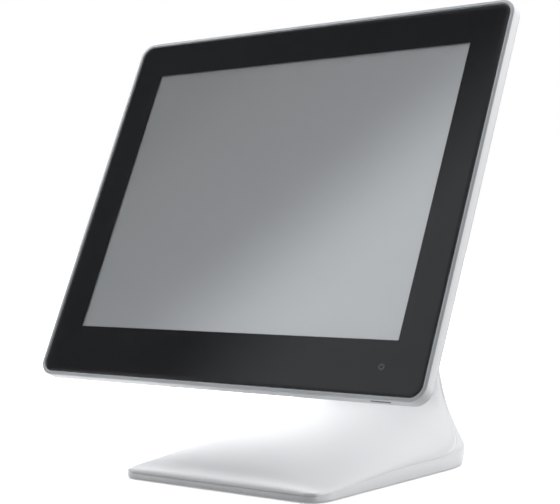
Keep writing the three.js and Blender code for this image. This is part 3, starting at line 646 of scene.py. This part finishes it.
for d, h, m_ in ((20, 17, 6.5), (0, 16, 8.0), (-8, 13.9, 8.0), (-14, 7.7, 8.0)):
    y, z = hy + 0.8 * d, hz - 0.6 * d
    T, R = (y - 0.6 * h, z - 0.8 * h), (y + 0.6 * h, z + 0.8 * h)
    ST.append((T[0], T[1], 57.0, T[0] + 0.62 * (R[0] - T[0]), T[1] + 0.62 * (R[1] - T[1]), m_, (R[0], R[1], m_)))
CAP = []                                          # the nose that closes the top of the neck
for d, h, w in ((-14.5, 7.3, 56.8), (-15.0, 6.6, 56.3), (-15.35, 5.6, 55.5), (-15.5, 4.4, 54.4), (-15.55, 0.05, 50.0)):
    y, z = hy + 0.8 * d, hz - 0.6 * d
    T, R = (y - 0.6 * h, z - 0.8 * h), (y + 0.6 * h, z + 0.8 * h)
    CAP.append((T, (T[0] + 0.62 * (R[0] - T[0]), T[1] + 0.62 * (R[1] - T[1])), R, w))
UT = np.array([r[:6] for r in ST])
SEAM, SEAM_REAR = 0.18, 0.34                       # parting line, along the base and up the neck
NU = 44
SUB = 5


def quad(phi, n):
    return math.sin(phi) ** (2.0 / n), math.cos(phi) ** (2.0 / n)


def chord(P, keep=1e-3):
    d = np.sqrt((np.diff(P, axis=0) ** 2).sum(1))
    return np.concatenate([[0], np.cumsum(np.maximum(d, keep))])


def dense(x, sub):
    q = []
    for a, b in zip(x[:-1], x[1:]):
        n = max(2, int(round((b - a) / (9.0 / sub * 2))))
        q += list(np.linspace(a, b, n, endpoint=False))
    return q + [x[-1]]


def spread(m, n):
    """angles spread evenly over a quadrant"""
    ph = np.linspace(0, math.pi / 2, 400)
    return ph


def even_quadrant(ax_pts):
    P = np.asarray(ax_pts)
    s = chord(P)
    return P, s


def upper_rows():
    """rows from the right seam over the top centre to the left seam"""
    x = chord(np.stack([UT[:, 0], UT[:, 1], UT[:, 3], UT[:, 4]], 1) * 0.75)
    xq = np.array(dense(x, SUB))
    F = spline(x[1:], UT[1:], xq[xq >= x[1] - 1e-9])
    rows = []
    tail = [[T[0], T[1], w, S[0], S[1], 8.0] for T, S, R, w in CAP]
    for r in np.vstack([UT[:1], F, tail]):
        Ty, Tz, Sx, Sy, Sz, m = r
        Sx = min(Sx, 95.0)
        ph = np.linspace(math.pi / 2, 0, 240)
        f, g = np.sin(ph) ** (2 / m), np.cos(ph) ** (2 / m)
        g[0], f[-1] = 0.0, 0.0
        P = np.stack([Sx * f, Sy + (Ty - Sy) * g, Sz + (Tz - Sz) * g], 1)
        # even spacing along the curve, so that the sheet has no bunched strips
        s = chord(P, 0.0)
        t = np.linspace(0, s[-1], NU + 1)
        Q = np.stack([np.interp(t, s, P[:, k]) for k in range(3)], 1)
        L = Q[:-1].copy(); L[:, 0] *= -1
        rows.append(np.vstack([Q, L[::-1]]))
    return rows


def lower_rows():
    rows = []
    k0 = next(i for i, r in enumerate(ST) if r[6] == "G")
    cols = NU
    keyed = []
    for r in ST[k0:]:
        Ty, Tz, Sx, Sy, Sz, m, R = r
        ph = np.linspace(math.pi / 2, 0, 300)
        if R == "G":
            f, g = np.sin(ph) ** (2 / REAR_N), np.cos(ph) ** (2 / REAR_N)
            P = np.stack([Sx * f, Sy + (REAR_Y - Sy) * g, np.full(300, BASE_Z)], 1)
            P[0] = (Sx, Sy, BASE_Z)
        else:
            f, g = np.sin(ph) ** (2 / R[2]), np.cos(ph) ** (2 / R[2])
            P = np.stack([Sx * f, Sy + (R[0] - Sy) * g, Sz + (R[1] - Sz) * g], 1)
            P[0] = (Sx, Sy, Sz)
        P[-1, 0] = 0.0
        s = chord(P, 0.0)
        t = np.linspace(0 if R == "G" else SEAM_REAR, s[-1], cols + 1)
        Q = np.stack([np.interp(t, s, P[:, k]) for k in range(3)], 1)
        keyed.append(Q)
    keyed = np.array(keyed)
    mid = keyed[:, [0, cols // 2, cols]].reshape(len(keyed), -1) / math.sqrt(3)
    x = chord(mid)
    xq = np.array(dense(x, SUB))
    F = spline(x, keyed.reshape(len(keyed), -1), xq).reshape(len(xq), cols + 1, 3)
    F[:, -1, 0] = 0.0
    F = list(F)
    for T, S, R, w in CAP:
        ph = np.linspace(math.pi / 2, 0, 300)
        f, g = np.sin(ph) ** 0.25, np.cos(ph) ** 0.25
        P = np.stack([w * f, S[0] + (R[0] - S[0]) * g, S[1] + (R[1] - S[1]) * g], 1)
        P[-1, 0] = 0.0
        s = chord(P, 0.0)
        t = np.linspace(SEAM, s[-1], cols + 1)
        F.append(np.stack([np.interp(t, s, P[:, k]) for k in range(3)], 1))
    for Q in F:
        L = Q[:-1].copy(); L[:, 0] *= -1
        rows.append(np.vstack([Q, L[::-1]]))
    return rows, k0, x, xq


def grid(rows):
    n = len(rows[0])
    verts = np.vstack(rows)
    faces = [(k * n + i, k * n + i + 1, (k + 1) * n + i + 1, (k + 1) * n + i) for k in range(len(rows) - 1) for i in range(n - 1)]
    return verts, faces


def outward(ob, centre):
    """turn the sheet's normals away from a point given in metres"""
    bm = bmesh.new(); bm.from_mesh(ob.data)
    s = sum((f.calc_center_median() - Vector(centre)).dot(f.normal) * f.calc_area() for f in bm.faces)
    if s < 0:
        bmesh.ops.reverse_faces(bm, faces=bm.faces)
    bm.to_mesh(ob.data); bm.free()


def solidify(ob, t):
    m = ob.modifiers.new("wall", "SOLIDIFY")
    m.thickness = t / 1000.0
    m.offset = -1.0
    m.use_even_offset = False
    bake_mods(ob, 35)


urows = upper_rows()
seam_r = np.array([r[0] for r in urows])
v, f = grid(urows)
n_u = len(urows[0])
end = [(len(urows) - 1) * n_u + i for i in range(n_u)]
cover = make("stand_upper_cover_fine", stand_pt(v), f, 60)
outward(cover, (0, 0.06, 0.02))
solidify(cover, WALL)


def pin_holes():
    return [lathe("pin_hole", [(0, 0), (4.3, 0), (4.3, 14), (0, 14)], (s * 48, hy, hz), (s, 0, 0), stand_pt, 40) for s in (-1, 1)]


boolean(cover, pin_holes(), 35)
bevel(cover, 0.26, 2, 55, shade_angle=40)
piece(cover, STAND, "white_housing", WHITE, "stand_upper_cover")

lrows, k0, lx, lxq = lower_rows()
v, f = grid(lrows)
n_l = len(lrows[0])
verts = list(v)
# side wall strip from the heel forward round the front lip
heel_y = ST[k0][3]
first_past = next(i for i, q in enumerate(seam_r) if q[1] > heel_y - 0.5)
fore = list(seam_r[:first_past])
strip = [np.array([0.0, -63.0, 5.0]), np.array([41.0, -63.0, 5.0])] + fore + [np.array([ST[k0][2], heel_y, ST[k0][4]])]
past = seam_r[first_past - 1:first_past + 14]
for sgn in (1, -1):
    idx = []
    for s in strip:
        idx.append((len(verts), len(verts) + 1))
        verts.append((sgn * s[0], s[1], BASE_Z))
        verts.append((sgn * s[0], s[1], s[2] - SEAM))
    for (a, b), (c, d) in zip(idx[:-1], idx[1:]):
        f.append((a, c, d, b) if sgn > 0 else (a, b, d, c))
    # the corner between the strip's end and the heel panel
    col = 0 if sgn > 0 else n_l - 1
    edge = [r * n_l + col for r in range(len(lxq)) if lxq[r] <= lx[1] + 1e-6]
    topline = [idx[-1][1]]
    for e in edge[1:-1]:
        y = verts[e][1]
        topline.append(len(verts))
        verts.append((sgn * np.interp(y, past[:, 1], past[:, 0]), y, np.interp(y, past[:, 1], past[:, 2]) - SEAM))
    topline.append(edge[-1])
    for i in range(len(edge) - 1):
        q = (edge[i], edge[i + 1], topline[i + 1], topline[i])
        if i == len(edge) - 2:
            q = (edge[i], edge[i + 1], topline[i])
        f.append(q if sgn > 0 else q[::-1])
lower = make("stand_lower_housing_fine", stand_pt(verts), f, 60)
outward(lower, (0, 0.03, 0.05))
solidify(lower, WALL)
mouth = prism("mouth", [(a, REAR_Y - 14, c) for a, c in rounded(-24, 24, -3, 11, 1.6, 5)], (0, 20, 0), stand_pt)
boolean(lower, [mouth] + pin_holes(), 40)
bevel(lower, 0.26, 2, 55, shade_angle=40)
piece(lower, STAND, "white_housing", WHITE, "stand_lower_housing")

# ------------------------------------------------------------------ light, floor
WALL_GLOW, ROOM_GLOW = (0.05, 0.39), (0.90, 0.19)
world = bpy.data.worlds.new("studio")
bpy.context.scene.world = world
bpy.context.scene.view_settings.view_transform = "Standard"
world.use_nodes = True
wn = world.node_tree
wn.nodes.clear()
wout = wn.nodes.new("ShaderNodeOutputWorld")
def wnode(kind, **kw):
    n = wn.nodes.new(kind)
    for k, v in kw.items():
        setattr(n, k, v)
    return n


wco = wnode("ShaderNodeTexCoord").outputs["Generated"]
def facing(direction, lo, hi, a, b):
    """strength a to b as a direction of the room turns towards the one given"""
    d = wnode("ShaderNodeVectorMath", operation="DOT_PRODUCT")
    d.inputs[1].default_value = tuple(Vector(direction).normalized())
    wn.links.new(wco, d.inputs[0])
    m = wnode("ShaderNodeMapRange", interpolation_type="SMOOTHSTEP")
    for k, v in zip(("From Min", "From Max", "To Min", "To Max"), (lo, hi, a, b)):
        m.inputs[k].default_value = v
    wn.links.new(d.outputs["Value"], m.inputs["Value"])
    return m.outputs[0]


wall_side = facing((0.5, -1.0, 0.0), 0.165, 0.245, *WALL_GLOW)      # dim wall, and the paler one beside it
cone = facing((-0.62, -0.50, 0.60), 0.82, 0.955, 0.0, 1.0)
front = facing((0.15, -1.0, -0.05), 0.0, 0.85, *ROOM_GLOW)
behind = facing((0.8, 1.0, 0.05), -0.1, 0.9, 1.0, 0.38)
both = wnode("ShaderNodeMath", operation="MULTIPLY")
wn.links.new(front, both.inputs[0])
wn.links.new(behind, both.inputs[1])
front = both.outputs[0]
pick = wnode("ShaderNodeMix", data_type="FLOAT")
wn.links.new(cone, pick.inputs[0])
wn.links.new(front, pick.inputs[2])
wn.links.new(wall_side, pick.inputs[3])
dim_out = pick.outputs[0]
bg = wnode("ShaderNodeBackground")
bg.inputs["Color"].default_value = (0.955, 0.975, 1.0, 1)
wn.links.new(dim_out, bg.inputs["Strength"])
white_bg = wnode("ShaderNodeBackground")
white_bg.inputs["Color"].default_value = (1, 1, 1, 1)
white_bg.inputs["Strength"].default_value = 1.0
lp = wnode("ShaderNodeLightPath")
mx = wnode("ShaderNodeMixShader")
wn.links.new(lp.outputs["Is Camera Ray"], mx.inputs[0])
wn.links.new(bg.outputs[0], mx.inputs[1])
wn.links.new(white_bg.outputs[0], mx.inputs[2])
wn.links.new(mx.outputs[0], wout.inputs[0])


def area(name, at, target, size, power, colour=(1, 1, 1), size_y=None):
    L = bpy.data.lights.new(name, "AREA")
    L.shape = "RECTANGLE"
    L.size = size
    L.size_y = size_y or size
    L.energy = power
    L.color = colour
    o = bpy.data.objects.new(name, L)
    bpy.context.scene.collection.objects.link(o)
    d = Vector(target) - Vector(at)
    o.location = at
    o.rotation_euler = d.to_track_quat("-Z", "Y").to_euler()
    return o


CR, CF = Vector((math.cos(AZ), math.sin(AZ), 0)), Vector((-math.sin(AZ), math.cos(AZ), 0))
key = area("key_right", tuple(CR * 0.98 - CF * 0.24 + Vector((0, 0, 0.98))), (0, 0, 0.30), 0.6, 12)
top = area("top_left", (-0.85, 0.0, 1.3), (0, 0, 0.05), 1.0, 35)
left = area("left_back", tuple(-CR * 1.5 + CF * 0.9 + Vector((0, 0, 1.2))), (0, 0, 0.1), 1.2, 4)
for o in (key, top, left):
    o.visible_glossy = False
    o.visible_transmission = False

fm = Mat("floor")
n_f = fm.noise(0.8, 2.0)
fm.link(fm.ramp(n_f, [(0.3, (0.93, 0.93, 0.93)), (0.7, (0.95, 0.95, 0.95))]), fm.p.inputs["Base Color"])
far = fm.node("ShaderNodeVectorMath", operation="LENGTH")
fm.link(fm.co, far.inputs[0])
fm.link(fm.map_range(far.outputs["Value"], 0.3, 2.2, 0.22, 0.75, True), fm.p.inputs["Emission Strength"])
fm.set(Roughness=0.9, Specular_IOR_Level=0.1, Emission_Color=(1, 1, 1, 1))
fv = [(-9, -9, -0.0003), (9, -9, -0.0003), (9, 9, -0.0003), (-9, 9, -0.0003)]
fme = bpy.data.meshes.new("floor")
fme.from_pydata(fv, [], [(0, 1, 2, 3)])
floor = bpy.data.objects.new("floor", fme)
bpy.context.scene.collection.objects.link(floor)
floor.data.materials.append(fm.m)
floor.visible_diffuse = False
